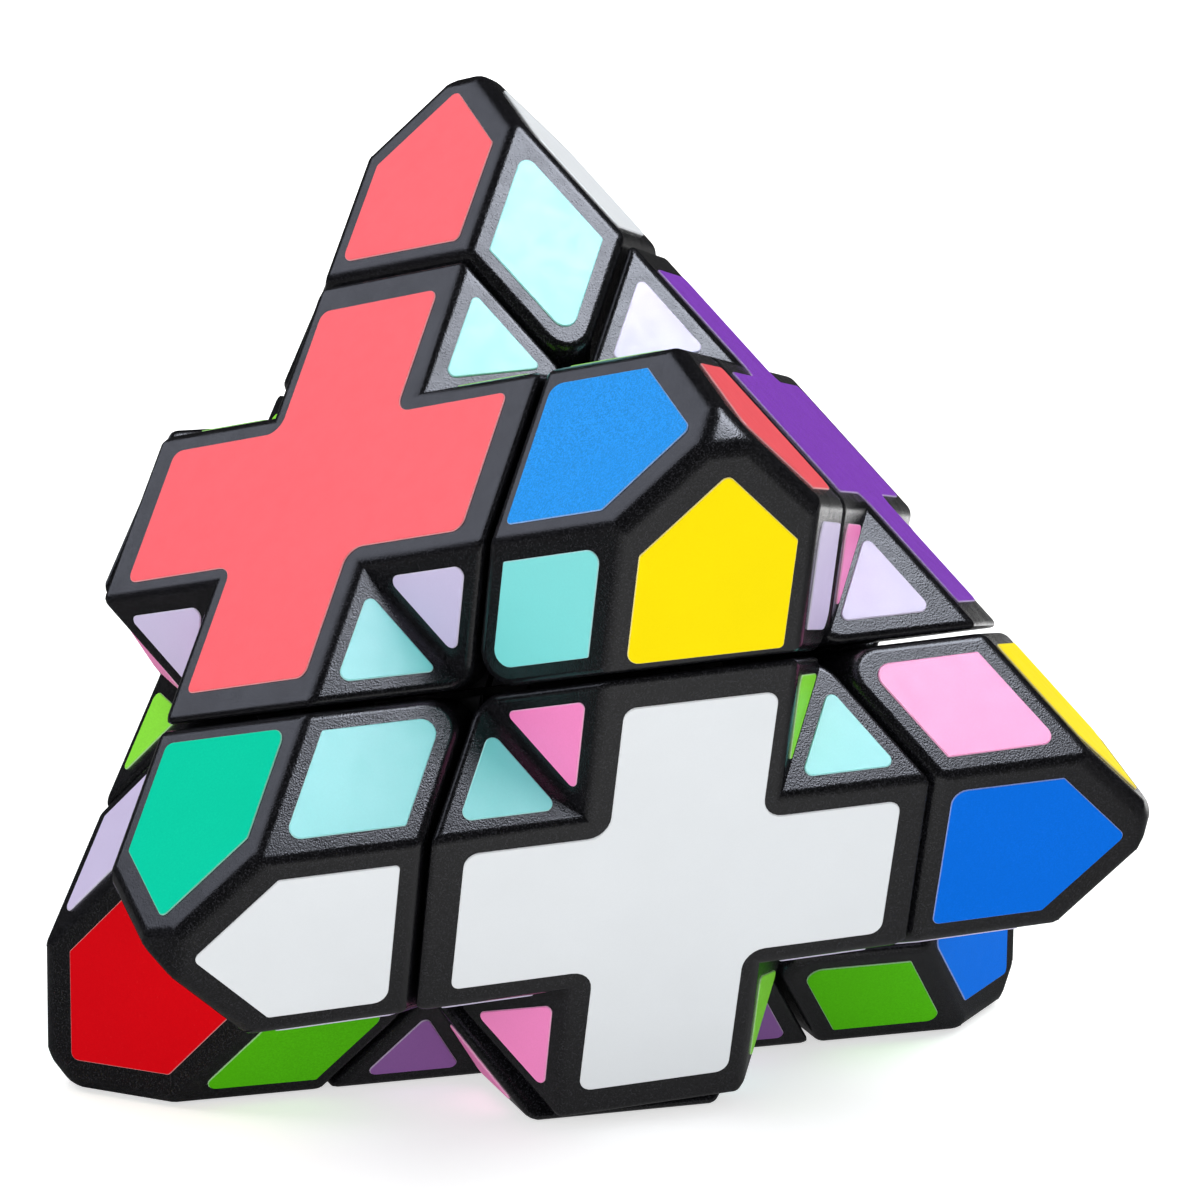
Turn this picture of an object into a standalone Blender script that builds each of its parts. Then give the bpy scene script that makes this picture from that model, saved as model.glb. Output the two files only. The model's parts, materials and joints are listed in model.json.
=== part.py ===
"""Star-shaped twisty puzzle: eight spiked tips and six cross centres round a ball core.

The outer shape is two crossed tetrahedra cut back to a cube. Four cuts through the middle,
each square to a body diagonal of that cube, split it into the fourteen outer pieces. Four
tips are screwed to the core through springs. Feet under the other pieces hook beneath their
neighbours. The front half is shown turned about its screw, so that three spikes of each half
line up, and the puzzle stands on a flat face of its back half.
"""

import math
from itertools import product

import bmesh
import bpy
from mathutils import Matrix, Vector

# Driving dimensions, in metres and degrees.
WIDTH = 0.070              # across two opposite flat faces
STAR_PLANE = 0.0277        # from the middle of the core to each slanted star face
FRONT_TURN = 62.7          # how far the front half is turned about its screw
TIP_FLAT = 0.0025          # how much of each spike's sharp point is taken off

TIP_GAP = 0.0001           # from each cut to the side walls of a tip
CENTER_GAP = 0.0004        # from each cut to the side walls of a centre
WALL = 0.0020              # wall of the hollow caps
CORNER_ROUND = 0.0030      # rounding where four pieces meet
EDGE_ROUND = 0.0008        # rounding on every other edge of a cap
CLEARANCE = 0.0003         # between pieces that rest on each other
POINT_FILL = 0.0100        # how far below the sharp point the hollow of a spike ends
LAP = 0.0010               # how far solids that are joined or cut reach into each other

CORE_RADIUS = 0.0101
FOOT_INNER = 0.0105        # the feet ride between these two radii
FOOT_OUTER = 0.0170
FOOT_REACH = 0.0015        # how far a foot reaches beneath its neighbour
FOOT_PLAY = 0.00015

TIP_SEAT = 0.0240          # height above the core's middle where a tip's cap meets its base
TIP_PLUG = 0.0270          # top of the base inside the cap
CENTER_SEAT = 0.0200
CENTER_PLUG = 0.0225

SCREW_RADIUS = 0.0010
SCREW_HOLE = 0.0013
SCREW_START = 0.0035
SCREW_HEAD_RADIUS = 0.0028
SCREW_HEAD_HEIGHT = 0.0024
SCREW_SLOT = 0.0006
SPRING_RADIUS = 0.0026     # middle of the wire
SPRING_LENGTH = 0.0058
SPRING_TURNS = 4
WIRE_RADIUS = 0.0004
WASHER_RADIUS = 0.0032
WASHER_HEIGHT = 0.0008

STICKER_THICKNESS = 0.0003
STICKER_END = 0.0034       # from the end of a cross arm to its sticker
STICKER_SIDE = 0.0019      # from the side of a cross arm to its sticker
STICKER_CORNER = 0.0012

HALF = WIDTH / 2
BLOCK = 4 * WIDTH          # the blank that the flat-sided solids are cut from
AXES = [Vector(a).normalized() for a in ((1, 1, 1), (1, -1, -1), (-1, 1, -1), (-1, -1, 1))]
CENTER_FACE = HALF - STICKER_THICKNESS - CLEARANCE

BLACK = (0.018, 0.018, 0.020)
CORE_GREY = (0.10, 0.10, 0.11)
STEEL = (0.62, 0.62, 0.64)
CROSS_COLORS = {
    "white": (0.86, 0.88, 0.90),
    "purple": (0.19, 0.04, 0.42),
    "red": (0.95, 0.12, 0.14),
    "green": (0.00, 0.62, 0.37),
    "blue": (0.01, 0.24, 0.85),
    "yellow": (0.98, 0.76, 0.01),
}

# Where each outer piece points, in the frame of its own half.
FRONT_TIPS = {"tip_front": (1, 1, 1), "tip_top": (-1, 1, 1), "tip_left": (1, -1, 1), "tip_right": (1, 1, -1)}
BACK_TIPS = {
    "tip_back_left": (1, -1, -1),
    "tip_back_right": (-1, 1, -1),
    "tip_back_high": (-1, -1, 1),
    "tip_back_low": (-1, -1, -1),
}
FRONT_CENTERS = {"white": (1, 0, 0), "purple": (0, 1, 0), "red": (0, 0, 1)}
BACK_CENTERS = {"green": (-1, 0, 0), "blue": (0, -1, 0), "yellow": (0, 0, -1)}


def clear_scene():
    for item in list(bpy.data.objects):
        bpy.data.objects.remove(item, do_unlink=True)


def make_material(name, color, roughness, metallic=0.0):
    material = bpy.data.materials.new(name)
    material.use_nodes = True
    shader = material.node_tree.nodes["Principled BSDF"]
    shader.inputs["Base Color"].default_value = (*color, 1.0)
    shader.inputs["Roughness"].default_value = roughness
    shader.inputs["Metallic"].default_value = metallic
    return material


def make_object(name, bm, parent=None, color=BLACK, roughness=0.35, metallic=0.0):
    """Turns a bmesh into a named object with its own material."""
    mesh = bpy.data.meshes.new(name)
    bmesh.ops.recalc_face_normals(bm, faces=bm.faces)
    bm.to_mesh(mesh)
    bm.free()
    mesh.shade_smooth()
    mesh.set_sharp_from_angle(angle=math.radians(35))
    item = bpy.data.objects.new(name, mesh)
    bpy.context.collection.objects.link(item)
    item.parent = parent
    mesh.materials.append(make_material(name + "_material", color, roughness, metallic))
    return item


def make_frame(name, turn):
    """An empty at the middle of the core whose axes are the cube's axes of one half."""
    frame = bpy.data.objects.new(name, None)
    stand = Matrix.Rotation(math.radians(-135), 4, "Z")
    twist = Matrix.Rotation(math.radians(turn), 4, AXES[0])
    frame.matrix_world = Matrix.Translation((0, 0, HALF)) @ stand @ twist
    bpy.context.collection.objects.link(frame)
    return frame


# Flat-sided solids. A plane is a pair (normal, distance): what lies beyond it is cut away.

def cut_by_planes(bm, planes):
    """Cuts a convex mesh by each plane in turn and closes each cut."""
    for normal, distance in planes:
        normal = Vector(normal).normalized()
        cut = bmesh.ops.bisect_plane(
            bm,
            geom=bm.verts[:] + bm.edges[:] + bm.faces[:],
            dist=1e-7,
            plane_co=normal * distance,
            plane_no=normal,
            clear_outer=True,
        )
        rim = [e for e in cut["geom_cut"] if isinstance(e, bmesh.types.BMEdge)]
        if rim:
            bmesh.ops.contextual_create(bm, geom=rim)
    bmesh.ops.recalc_face_normals(bm, faces=bm.faces)
    return bm


def solid_inside(planes):
    """The convex solid left of a large block."""
    bm = bmesh.new()
    bmesh.ops.create_cube(bm, size=BLOCK)
    return cut_by_planes(bm, planes)


def ball(radius, segments=32):
    bm = bmesh.new()
    bmesh.ops.create_uvsphere(bm, u_segments=segments, v_segments=segments // 2, radius=radius)
    return bm


def combine(first, second, operation):
    """Boolean of two bmeshes. Both are used up."""
    blank = make_object("blank", first)
    tool = make_object("tool", second)
    modifier = blank.modifiers.new("combine", "BOOLEAN")
    modifier.operation = operation
    modifier.solver = "EXACT"
    modifier.object = tool
    evaluated = blank.evaluated_get(bpy.context.evaluated_depsgraph_get())
    result = bmesh.new()
    result.from_mesh(evaluated.to_mesh())
    evaluated.to_mesh_clear()
    for item in (blank, tool):
        mesh = item.data
        material = mesh.materials[0]
        bpy.data.objects.remove(item, do_unlink=True)
        bpy.data.meshes.remove(mesh)
        bpy.data.materials.remove(material)
    bmesh.ops.remove_doubles(result, verts=result.verts, dist=2e-6)
    return result


def turned(profile, direction, steps=24):
    """Spins a closed profile of (radius, height) points round a line through the core."""
    bm = bmesh.new()
    points = [bm.verts.new((radius, 0, height)) for radius, height in profile]
    rim = [bm.edges.new((points[i - 1], points[i])) for i in range(len(points))]
    bmesh.ops.spin(
        bm,
        geom=points + rim,
        cent=(0, 0, 0),
        axis=(0, 0, 1),
        angle=2 * math.pi,
        steps=steps,
        use_merge=True,
    )
    bmesh.ops.remove_doubles(bm, verts=bm.verts, dist=1e-7)
    bmesh.ops.transform(bm, matrix=axis_frame(direction), verts=bm.verts)
    return bm


def rod(radius, low, high, direction, steps=24):
    bm = bmesh.new()
    bmesh.ops.create_cone(
        bm, cap_ends=True, segments=steps, radius1=radius, radius2=radius, depth=high - low,
        matrix=Matrix.Translation((0, 0, (low + high) / 2)),
    )
    bmesh.ops.transform(bm, matrix=axis_frame(direction), verts=bm.verts)
    return bm


def axis_frame(direction):
    """Rotation that takes +Z to the direction."""
    return Vector(direction).to_track_quat("Z", "Y").to_matrix().to_4x4()


# Which side of each cut a piece lies on.

def sides(direction):
    """+1 or -1 for each cut, by the side that a piece in this direction lies on."""
    return [1 if axis.dot(Vector(direction)) > 0 else -1 for axis in AXES]


def wedge(direction, gap):
    """The planes of a piece's wedge between the cuts, drawn in by a gap."""
    return [(-side * axis, -gap) for axis, side in zip(AXES, sides(direction))]


def foot_wedge(direction):
    """The wedge at foot level, where every cut is moved by FOOT_REACH."""
    planes = []
    for axis, side in zip(AXES, sides(direction)):
        if side > 0:
            planes.append((-axis, FOOT_REACH - FOOT_PLAY))
        else:
            planes.append((axis, -FOOT_REACH - FOOT_PLAY))
    return planes


def neck_wedge(direction):
    """What a piece may fill at every height: the wedge and the foot wedge together."""
    planes = []
    for axis, side in zip(AXES, sides(direction)):
        if side > 0:
            planes.append((-axis, -CLEARANCE))
        else:
            planes.append((axis, -FOOT_REACH - FOOT_PLAY))
    return planes


def is_screwed(direction):
    """A tip on one of the four turning axes is held by a screw."""
    return any(axis.dot(Vector(direction).normalized()) > 0.999 for axis in AXES)


def cube_planes(direction, distance):
    """The flat faces that a piece reaches."""
    return [(axis_vector(i, part), distance) for i, part in enumerate(direction) if part]


def axis_vector(index, sign):
    vector = Vector((0, 0, 0))
    vector[index] = sign
    return vector


def star_planes(direction, distance):
    """The slanted star faces next to a piece."""
    normals = [Vector(s).normalized() for s in product((1, -1), repeat=3)]
    direction = Vector(direction)
    if direction.length > 1.5:
        near = [n for n in normals if 0.1 < n.dot(direction.normalized()) < 0.5]
    else:
        near = [n for n in normals if n.dot(direction) > 0]
    return [(n, distance) for n in near]


# Rounding.

def round_corners(bm, direction):
    """Rounds the radial edges of a cap, where four pieces meet."""
    rays = [Vector(v).normalized() for v in product((1, 0, -1), repeat=3) if Vector(v).length_squared == 2]
    radial = []
    for edge in bm.edges:
        along = (edge.verts[1].co - edge.verts[0].co).normalized()
        middle = (edge.verts[0].co + edge.verts[1].co).normalized()
        if any(abs(along.dot(ray)) > 0.9999 and middle.dot(ray) > 0.98 for ray in rays):
            if len(edge.link_faces) == 2 and edge.is_convex:
                radial.append(edge)
    bmesh.ops.bevel(
        bm, geom=radial, offset=CORNER_ROUND, offset_type="OFFSET", segments=4, profile=0.5,
        affect="EDGES", clamp_overlap=True,
    )


def round_edges(bm, width):
    """Rounds the outward edges of a cap."""
    sharp = [
        e for e in bm.edges
        if e.is_manifold and e.is_convex and e.calc_face_angle(0) > math.radians(25)
    ]
    bmesh.ops.bevel(
        bm, geom=sharp, offset=width, offset_type="OFFSET", segments=2, profile=0.5,
        affect="EDGES", clamp_overlap=True,
    )


# Sub-parts.

def tip_cap(direction):
    """Hollow outer shell of a spike, open towards the core."""
    axis = Vector(direction)
    point = HALF * math.sqrt(3)
    outer = solid_inside(
        wedge(direction, TIP_GAP)
        + cube_planes(direction, HALF)
        + star_planes(direction, STAR_PLANE)
        + [(axis, point - TIP_FLAT), (-axis, -TIP_SEAT)]
    )
    round_corners(outer, direction)
    round_edges(outer, EDGE_ROUND)
    hollow = solid_inside(
        wedge(direction, TIP_GAP + WALL)
        + cube_planes(direction, HALF - WALL)
        + star_planes(direction, STAR_PLANE - WALL)
        + [(axis, point - POINT_FILL), (-axis, WALL - TIP_SEAT)]
    )
    return combine(outer, hollow, "DIFFERENCE")


def center_cap(direction):
    """Hollow outer shell of a cross centre, with four valley notches."""
    axis = Vector(direction)
    outer = solid_inside(
        wedge(direction, CENTER_GAP)
        + [(axis, CENTER_FACE), (-axis, -CENTER_SEAT)]
    )
    for notch in notch_directions(direction):
        pair = [n for n, _ in star_planes(direction, STAR_PLANE) if n.dot(notch) > 0]
        outer = combine(outer, solid_inside([(-n, -STAR_PLANE) for n in pair]), "DIFFERENCE")
    bmesh.ops.dissolve_limit(outer, angle_limit=0.01, verts=outer.verts, edges=outer.edges)
    round_corners(outer, direction)
    round_edges(outer, EDGE_ROUND)
    hollow = solid_inside(
        wedge(direction, CENTER_GAP + WALL)
        + star_planes(direction, STAR_PLANE - WALL)
        + [(axis, CENTER_FACE - WALL), (-axis, WALL - CENTER_SEAT)]
    )
    return combine(outer, hollow, "DIFFERENCE")


def notch_directions(direction):
    """The four directions across a flat face in which its notches lie."""
    own = max(range(3), key=lambda i: abs(direction[i]))
    return [axis_vector(i, sign) for i in range(3) if i != own for sign in (1, -1)]


def piece_base(direction, gap, seat, plug):
    """The part under a cap: a plug inside the cap, a shoulder, a neck and a foot."""
    axis = Vector(direction)
    block = solid_inside(wedge(direction, gap) + [(axis, seat - CLEARANCE)])
    block = combine(block, ball(FOOT_OUTER + FOOT_PLAY), "DIFFERENCE")
    neck = solid_inside(neck_wedge(direction) + [(axis, seat - LAP)])
    block = combine(block, neck, "UNION")
    plug_walls = wedge(direction, gap + WALL + CLEARANCE)
    block = combine(block, solid_inside(plug_walls + [(axis, plug), (-axis, LAP - seat)]), "UNION")
    if not is_screwed(direction):
        foot = cut_by_planes(ball(FOOT_OUTER - FOOT_PLAY), foot_wedge(direction))
        block = combine(block, foot, "UNION")
    block = combine(block, ball(FOOT_INNER), "DIFFERENCE")
    if is_screwed(direction):
        hole = rod(SCREW_HOLE, CORE_RADIUS - LAP, plug + LAP, direction)
        block = combine(block, hole, "DIFFERENCE")
    return block


def core_ball():
    """The ball in the middle, with a screw hole on each turning axis."""
    core = ball(CORE_RADIUS, segments=24)
    for axis in AXES:
        core = combine(core, rod(SCREW_HOLE, SCREW_START - CLEARANCE, CORE_RADIUS + LAP, axis), "DIFFERENCE")
    return core


def screw(direction):
    """Slotted screw: a plain shank and a low round head."""
    head_low = TIP_PLUG + SPRING_LENGTH + WASHER_HEIGHT + 3 * CLEARANCE
    head_high = head_low + SCREW_HEAD_HEIGHT
    shank = rod(SCREW_RADIUS, SCREW_START, head_low + LAP, direction, steps=16)
    head = rod(SCREW_HEAD_RADIUS, head_low, head_high, direction)
    slot = bmesh.new()
    bmesh.ops.create_cube(slot, size=1)
    bmesh.ops.scale(slot, vec=(3 * SCREW_HEAD_RADIUS, SCREW_SLOT, SCREW_HEAD_HEIGHT), verts=slot.verts)
    bmesh.ops.translate(slot, vec=(0, 0, head_high), verts=slot.verts)
    bmesh.ops.transform(slot, matrix=axis_frame(direction), verts=slot.verts)
    return combine(combine(head, shank, "UNION"), slot, "DIFFERENCE")


def washer(direction):
    low = TIP_PLUG + SPRING_LENGTH + 2 * CLEARANCE
    high = low + WASHER_HEIGHT
    ring = [(SCREW_HOLE, low), (WASHER_RADIUS, low), (WASHER_RADIUS, high), (SCREW_HOLE, high)]
    return turned(ring, direction)


def spring(name, direction, parent):
    """A coil of round wire, as a bevelled curve along a helix."""
    curve = bpy.data.curves.new(name, "CURVE")
    curve.dimensions = "3D"
    curve.bevel_depth = WIRE_RADIUS
    curve.bevel_resolution = 1
    curve.use_fill_caps = True
    per_turn = 12
    count = SPRING_TURNS * per_turn + 1
    low = TIP_PLUG + CLEARANCE + WIRE_RADIUS
    rise = SPRING_LENGTH - 2 * WIRE_RADIUS
    frame = axis_frame(direction)
    spline = curve.splines.new("POLY")
    spline.points.add(count - 1)
    for i, point in enumerate(spline.points):
        angle = 2 * math.pi * i / per_turn
        height = low + rise * i / (count - 1)
        place = Vector((SPRING_RADIUS * math.cos(angle), SPRING_RADIUS * math.sin(angle), height))
        point.co = (*(frame @ place), 1)
    item = bpy.data.objects.new(name, curve)
    bpy.context.collection.objects.link(item)
    item.parent = parent
    curve.materials.append(make_material(name + "_material", STEEL, 0.3, 1.0))
    return item


def cross_sticker(direction):
    """The cross-shaped sticker on a flat face, with rounded corners."""
    arm_half = (STAR_PLANE * math.sqrt(3) - HALF) / math.sqrt(2) - STICKER_SIDE
    reach = (HALF - CENTER_GAP * math.sqrt(3)) / math.sqrt(2) - STICKER_END
    corners = []
    for quarter in range(4):
        turn = Matrix.Rotation(math.pi / 2 * quarter, 2)
        for x, y in ((reach, -arm_half), (reach, arm_half), (arm_half, arm_half)):
            corners.append(turn @ Vector((x, y)))
    bm = bmesh.new()
    diagonal = Matrix.Rotation(math.pi / 4, 2)
    low = HALF - STICKER_THICKNESS
    outline = [bm.verts.new((*(diagonal @ corner), low)) for corner in corners]
    face = bm.faces.new(outline)
    raised = bmesh.ops.extrude_face_region(bm, geom=[face])
    top = [v for v in raised["geom"] if isinstance(v, bmesh.types.BMVert)]
    bmesh.ops.translate(bm, vec=(0, 0, STICKER_THICKNESS), verts=top)
    upright = [e for e in bm.edges if abs(e.verts[0].co.z - e.verts[1].co.z) > STICKER_THICKNESS / 2]
    bmesh.ops.bevel(
        bm, geom=upright, offset=STICKER_CORNER, offset_type="OFFSET", segments=3, profile=0.5,
        affect="EDGES", clamp_overlap=True,
    )
    bmesh.ops.transform(bm, matrix=face_frame(direction), verts=bm.verts)
    return bm


def face_frame(direction):
    """Rotation that takes +Z to a cube direction and keeps the other cube axes on cube axes."""
    z = Vector(direction)
    x = Vector((z.y, z.z, z.x))
    y = z.cross(x)
    return Matrix((x, y, z)).transposed().to_4x4()


# Assembly.

def build_tips(tips, parent):
    for name, direction in tips.items():
        make_object(name + "_cap", tip_cap(direction), parent)
        base = piece_base(direction, TIP_GAP + CLEARANCE, TIP_SEAT, TIP_PLUG)
        make_object(name + "_base", base, parent, roughness=0.45)


def build_centers(centers, parent):
    for color, direction in centers.items():
        make_object(f"center_{color}_cap", center_cap(direction), parent)
        base = piece_base(direction, CENTER_GAP, CENTER_SEAT, CENTER_PLUG)
        make_object(f"center_{color}_base", base, parent, roughness=0.45)
        make_object(
            f"cross_sticker_{color}", cross_sticker(direction), parent,
            color=CROSS_COLORS[color], roughness=0.25,
        )


def build_fastener(place, direction, parent):
    """The screw, washer and spring on one turning axis. All three stay with the core."""
    make_object("screw_" + place, screw(direction), parent, STEEL, 0.3, 1.0)
    make_object("washer_" + place, washer(direction), parent, STEEL, 0.35, 1.0)
    spring("spring_" + place, direction, parent)


def main():
    clear_scene()
    back = make_frame("back_half_frame", 0)
    front = make_frame("front_half_frame", FRONT_TURN)
    bpy.context.view_layer.update()
    build_tips(FRONT_TIPS, front)
    build_centers(FRONT_CENTERS, front)
    build_tips(BACK_TIPS, back)
    build_centers(BACK_CENTERS, back)
    make_object("core", core_ball(), back, CORE_GREY, 0.5)
    for name, direction in {**FRONT_TIPS, **BACK_TIPS}.items():
        if is_screwed(direction):
            build_fastener(name.removeprefix("tip_"), direction, back)


main()
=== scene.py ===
import json
import math
import random
from itertools import product

import bmesh
import bpy
from mathutils import Matrix, Vector


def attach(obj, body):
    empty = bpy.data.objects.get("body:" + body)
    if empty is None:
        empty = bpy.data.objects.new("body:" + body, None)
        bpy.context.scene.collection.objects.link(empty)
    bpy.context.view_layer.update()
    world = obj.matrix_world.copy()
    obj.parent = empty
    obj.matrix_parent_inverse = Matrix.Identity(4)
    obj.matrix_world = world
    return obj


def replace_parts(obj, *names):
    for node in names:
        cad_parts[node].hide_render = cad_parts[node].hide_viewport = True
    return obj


# Star-shaped twisty puzzle: moulded black caps with rounded edges, 102 vinyl stickers placed by
# hand, and the procedural materials of everything, on a pale floor in soft studio light.

MM = 0.001

# Shape of the puzzle, in metres, as in the CAD.
HALF = 35 * MM                    # from the middle of the core to each flat face
STAR_PLANE = 27.7 * MM            # from the middle of the core to each slanted face
FRONT_TURN = 62.7                 # degrees that the front half is turned about its screw
STAND_TURN = -135                 # degrees that the whole puzzle is turned about the vertical
TIP_SEAT = 24 * MM                # where a tip's cap meets its base
CENTER_SEAT = 20 * MM
WALL = 2 * MM                     # wall of the hollow caps
HOLLOW_POINT_CUT = 10 * MM        # how far below a spike's sharp point its hollow ends

# Gaps and rounding of the caps.
FILM = 0.16 * MM                  # how far a sticker stands above its cap
TIP_GAP = 0.10 * MM               # from each cut to the side walls of a tip
CENTER_GAP = 0.40 * MM            # from each cut to the side walls of a centre
CORNER_ROUND = 3.0 * MM           # where four pieces meet
RIDGE_ROUND = 1.7 * MM            # between two flat faces of a spike
ROOF_ROUND = 0.75 * MM            # between a flat face and a slanted one
GROOVE_ROUND = {"tip": 0.75 * MM, "center": 0.95 * MM}    # along the grooves between pieces
POINT_ROUND = 1.1 * MM            # round the blunt point of a spike
POINT_CUT = 2.6 * MM              # how much of each spike's sharp point is taken off
LARGEST_ROUND = 2.0 * MM          # the width that a bevel weight of 1 stands for
LEAST_ROUNDED_ANGLE = 25          # degrees between two faces, below which their edge stays as it is
SHARP_ANGLE = 38                  # degrees from which an edge is shaded sharp
LARGE_FACE_WEIGHT = 100           # percent: the shading of a round follows the larger faces beside it
ROUND_STEPS = 4                   # strips across a rounded edge
CORNER_PLANES = 9                 # equal parts of the turn across a corner round
BLANK_SIZE = 8 * HALF             # the cube that every flat-sided solid is cut from

# Tolerances.
SAME_DIRECTION = 0.999            # dot product above which two directions are the same
ZERO = 1e-6
CUT_DISTANCE = 1e-7
WELD_DISTANCE = 2e-6
FLAT_ANGLE = 0.01                 # radians between faces that are one flat face

# Bare margins between the edge of a facet and its sticker.
MARGINS = {
    "house_base": 1.42 * MM,
    "house_wall": 1.80 * MM,
    "house_roof": 3.43 * MM,
    "diamond_cut": 1.83 * MM,
    "diamond_roof": 1.95 * MM,
    "cross_end": 3.90 * MM,
    "cross_side": 1.87 * MM,
    "triangle_crease": 1.15 * MM,
    "triangle_cut": 2.30 * MM,
    "triangle_arm": 1.82 * MM,
}
STICKER_RIM = 0.09 * MM           # the pressed-down edge of the film
STICKER_SUNK = 0.05 * MM          # how far a sticker's closed underside sits inside the cap
PLACING_SHIFT = 0.16 * MM         # how far off its place a sticker was put by hand
PLACING_TURN = 0.5                # degrees
PLACED = {                        # stickers that sit plainly off their place: across and up, metres
    "tip_front_house_x": (0.0, -0.75 * MM),
    "tip_left_house_x": (0.0, 0.55 * MM),
    "center_purple_triangle_1": (-0.95 * MM, 0.0),
}
CORNER_STEPS = 6                  # straight pieces of each rounded corner

# Corner radii of the stickers: one value, or the least and the most of a random one.
HOUSE_POINT_RADIUS = 0.75 * MM
HOUSE_SHOULDER_RADIUS = (0.25 * MM, 0.60 * MM)
HOUSE_WIDE_RADIUS = (1.10 * MM, 1.50 * MM)      # at one end of the base
HOUSE_TIGHT_RADIUS = (0.35 * MM, 0.90 * MM)     # at the other end
DIAMOND_RADII = (0.95 * MM, 0.28 * MM, 1.30 * MM, 0.28 * MM)
CROSS_END_RADIUS = (0.70 * MM, 1.40 * MM)
CROSS_INNER_RADIUS = (1.10 * MM, 2.10 * MM)
TRIANGLE_RADIUS = (0.45 * MM, 0.80 * MM)
LEAST_RADIUS = 0.02 * MM          # where the rim uses up the round of a corner

# Where each outer piece points, in the frame of its own half.
TIPS = {
    "tip_front": (1, 1, 1),
    "tip_top": (-1, 1, 1),
    "tip_left": (1, -1, 1),
    "tip_right": (1, 1, -1),
    "tip_back_left": (1, -1, -1),
    "tip_back_right": (-1, 1, -1),
    "tip_back_high": (-1, -1, 1),
    "tip_back_low": (-1, -1, -1),
}
CENTERS = {
    "white": (1, 0, 0),
    "purple": (0, 1, 0),
    "red": (0, 0, 1),
    "green": (-1, 0, 0),
    "blue": (0, -1, 0),
    "yellow": (0, 0, -1),
}
AXES = [Vector(a).normalized() for a in ((1, 1, 1), (1, -1, -1), (-1, 1, -1), (-1, -1, 1))]

# The colour on each facet: the three house shapes of a tip by x, y and z face, then its diamonds
# by the sign that the facet's direction doesn't share with the tip.
TIP_COLORS = {
    # The z house of the front tip faces up and carries painted light: a lighter copy of blue.
    "tip_front": (("yellow", "red", "blue_painted_light"), ("lime", "turquoise", "lavender")),
    "tip_top": (("purple", "white", "red"), ("turquoise", "pink", "lime")),
    "tip_left": (("white", "yellow", "green"), ("lime", "turquoise", "lavender")),
    "tip_right": (("blue", "yellow", "green"), ("turquoise", "lavender", "pink")),
    # The x house of this tip carries painted shade: a darker copy of red.
    "tip_back_left": (("red_painted_shade", "green", "purple"), ("pink", "lime_painted_shade", "lavender")),
    # The y diamond of the tip above and the x diamond of this tip carry painted shade: darker copies of
    # lime.
    "tip_back_right": (("white", "blue", "purple"), ("lime_painted_shade", "turquoise", "lavender")),
    "tip_back_high": (("yellow", "blue", "red"), ("lime", "turquoise", "pink")),
    "tip_back_low": (("white", "green", "purple"), ("lavender", "pink", "lime")),
}
# The colour of a centre's triangles, by the direction of the slanted face that they lie on.
CENTER_COLORS = {
    "white": {
        (1, 1, 1): "turquoise",
        (1, -1, 1): "pink",
        (1, 1, -1): "lime",
        (1, -1, -1): "lavender",
    },
    "purple": {
        (1, 1, 1): "lavender",
        (1, 1, -1): "pink",
        (-1, 1, 1): "turquoise",
        (-1, 1, -1): "lime",
    },
    "red": {
        (1, 1, 1): "turquoise",
        (1, -1, 1): "lavender",
        (-1, 1, 1): "lime",
        (-1, -1, 1): "pink",
    },
    "green": {
        (-1, 1, 1): "lavender",
        (-1, -1, 1): "pink",
        (-1, 1, -1): "turquoise",
        (-1, -1, -1): "lime",
    },
    "blue": {
        (1, -1, 1): "lime",
        (1, -1, -1): "pink",
        (-1, -1, 1): "lavender",
        (-1, -1, -1): "turquoise",
    },
    "yellow": {
        # This triangle lies under the front half and carries painted shade: a darker copy of lavender.
        (1, 1, -1): "lavender_painted_shade",
        (1, -1, -1): "pink",
        (-1, 1, -1): "turquoise",
        (-1, -1, -1): "lime",
    },
}

# Linear colour, specular level and print speckle of each vinyl film. Copies of blue, red, lime and
# lavender carry painted light and shade: blue made lighter, the other three made darker.
VINYL = {
    "white": ((0.78, 0.812, 0.838), 0.40, 0.006),
    "red": ((0.90, 0.079, 0.098), 0.40, 0.025),
    # Red made darker: painted shade.
    "red_painted_shade": ((0.57, 0.0, 0.004), 0.02, 0.03),
    "purple": ((0.205, 0.035, 0.47), 0.15, 0.30),
    "green": ((0.0, 0.565, 0.35), 0.01, 0.03),
    "blue": ((0.0, 0.145, 0.72), 0.02, 0.05),
    # Blue made lighter: painted light on the facet that faces up.
    "blue_painted_light": ((0.008, 0.270, 0.78), 0.05, 0.20),
    "yellow": ((0.97, 0.765, 0.0), 0.03, 0.01),
    "turquoise": ((0.185, 0.75, 0.735), 1.00, 0.012),
    "lavender": ((0.60, 0.53, 0.78), 1.00, 0.012),
    # Lavender made darker: painted shade under the front half.
    "lavender_painted_shade": ((0.22, 0.085, 0.30), 0.20, 0.03),
    "pink": ((1.0, 0.225, 0.57), 1.00, 0.03),
    "lime": ((0.235, 0.72, 0.040), 0.12, 0.08),
    # Lime made darker: painted shade on the facets that face down at the back.
    "lime_painted_shade": ((0.072, 0.43, 0.0), 0.03, 0.10),
}
VINYL_ROUGHNESS = (0.38, 0.46)
VINYL_IOR = 1.64
CUT_EDGE_WHITE_AND_HIGHLIGHT = (0.80, 0.80, 0.82)    # the pale film under the print along its cut edge, made whiter as a painted highlight of the rim
CUT_EDGE_AND_HIGHLIGHT_WHITENESS = 0.5               # how white the cut edge gets: the pale film and a painted highlight
PRINT_SPECKLE = 0.17 * MM         # size of the dots of the print
PRINT_CLOUD = 9 * MM              # size of its changes of tone
CLOUD_TONE = 0.96
LIGHT_DOT_LIFT = 0.02
VINYL_DENTS = 1.8 * MM
VINYL_RELIEF = 0.004 * MM

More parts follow.
